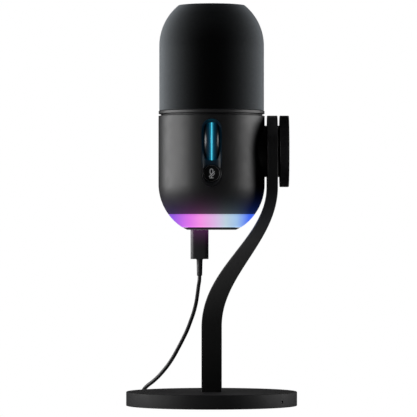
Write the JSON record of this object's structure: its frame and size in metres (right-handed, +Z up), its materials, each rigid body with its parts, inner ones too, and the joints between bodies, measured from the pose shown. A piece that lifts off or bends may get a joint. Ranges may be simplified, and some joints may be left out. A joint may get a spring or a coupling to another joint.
{
  "type": "desktop microphone",
  "caption": "Round-ended desktop microphone that tilts beside an S-curved arm on a disc base, with a gain wheel, mute button, light ring and USB cable.",
  "frame": {"origin": "centre of the base's underside, on the desk", "axes": "+Z up along the head's and the base's axis; -Y is the front, with the control panel; +X is the side of the arm and the clamp knob"},
  "size_m": [0.11, 0.1748, 0.2585],
  "materials": {
    "base": "satin black powder coat",
    "arm": "satin black powder coat",
    "knob": "matt black, fine rim texture",
    "body": "satin black",
    "panel": "half-gloss black",
    "trim": "satin dark grey",
    "grille": "fine black weave",
    "foam": "open-cell foam",
    "wheel": "dark translucent",
    "glow": "lit cyan light guide",
    "diffuser": "lit frosted diffuser",
    "cable": "matt black jacket",
    "rubber": "matt",
    "strap": "hook and loop strap",
    "frame": "moulded",
    "board": "solder mask",
    "steel": "plated",
    "brass": "machined",
    "copper": "enamelled wire",
    "clear": "film"
  },
  "bodies": {
    "stand": {"base_cover": "base", "base_weight": "steel", "foot_pad": "rubber", "base_set_screw": "steel", "arm_screw_front": "steel", "arm_screw_rear": "steel", "stand_arm": "arm", "friction_washer": "rubber", "cable_lead": "cable", "cable_coil": "cable", "cable_tail": "cable", "cable_tie": "strap", "usb_a_relief": "cable", "usb_a_overmold": "cable", "usb_a_shell": "steel"},
    "head": {"body_shell": "body", "light_ring": "diffuser", "bottom_cap": "body", "cap_screw_front": "steel", "cap_screw_rear": "steel", "bulkhead": "frame", "grille_trim_ring": "trim", "windscreen_grille": "grille", "grille_top": "grille", "foam_liner": "foam", "capsule_cradle": "frame", "shock_mount": "rubber", "capsule_housing": "frame", "capsule_magnet": "steel", "voice_coil": "copper", "capsule_diaphragm": "clear", "capsule_guard": "steel", "control_bezel": "panel", "mute_switch": "frame", "panel_board": "board", "wheel_bracket": "frame", "wheel_encoder": "frame", "chassis": "frame", "main_board": "board", "led_board": "board", "usb_receptacle": "steel", "pivot_boss": "arm", "pivot_bolt": "steel", "usb_c_shell": "steel", "usb_c_overmold": "cable", "usb_c_relief": "cable"},
    "knob": {"clamp_knob": "knob", "knob_insert": "brass"},
    "wheel": {"gain_wheel_left": "wheel", "gain_wheel_right": "wheel", "wheel_light_band": "glow", "wheel_axle": "steel"},
    "button": {"mute_button": "panel"}
  },
  "joints": [
    {"name": "head_tilt", "type": "hinge", "parent": "stand", "child": "head", "pos_m": [0.039, 0, 0.1638], "axis": [1, 0, 0], "range_deg": [-45, 45]},
    {"name": "knob_turn", "type": "hinge", "parent": "head", "child": "knob", "pos_m": [0.0468, 0, 0.1638], "axis": [1, 0, 0], "range_deg": [0, 180]},
    {"name": "gain_wheel_spin", "type": "hinge", "parent": "head", "child": "wheel", "pos_m": [0, -0.0197, 0.1695], "axis": [1, 0, 0], "continuous": true},
    {"name": "mute_press", "type": "slide", "parent": "head", "child": "button", "axis": [0, 1, 0], "range_m": [0, 0.0008], "stiffness_N_per_m": 900, "springref_m": -0.0003}
  ]
}
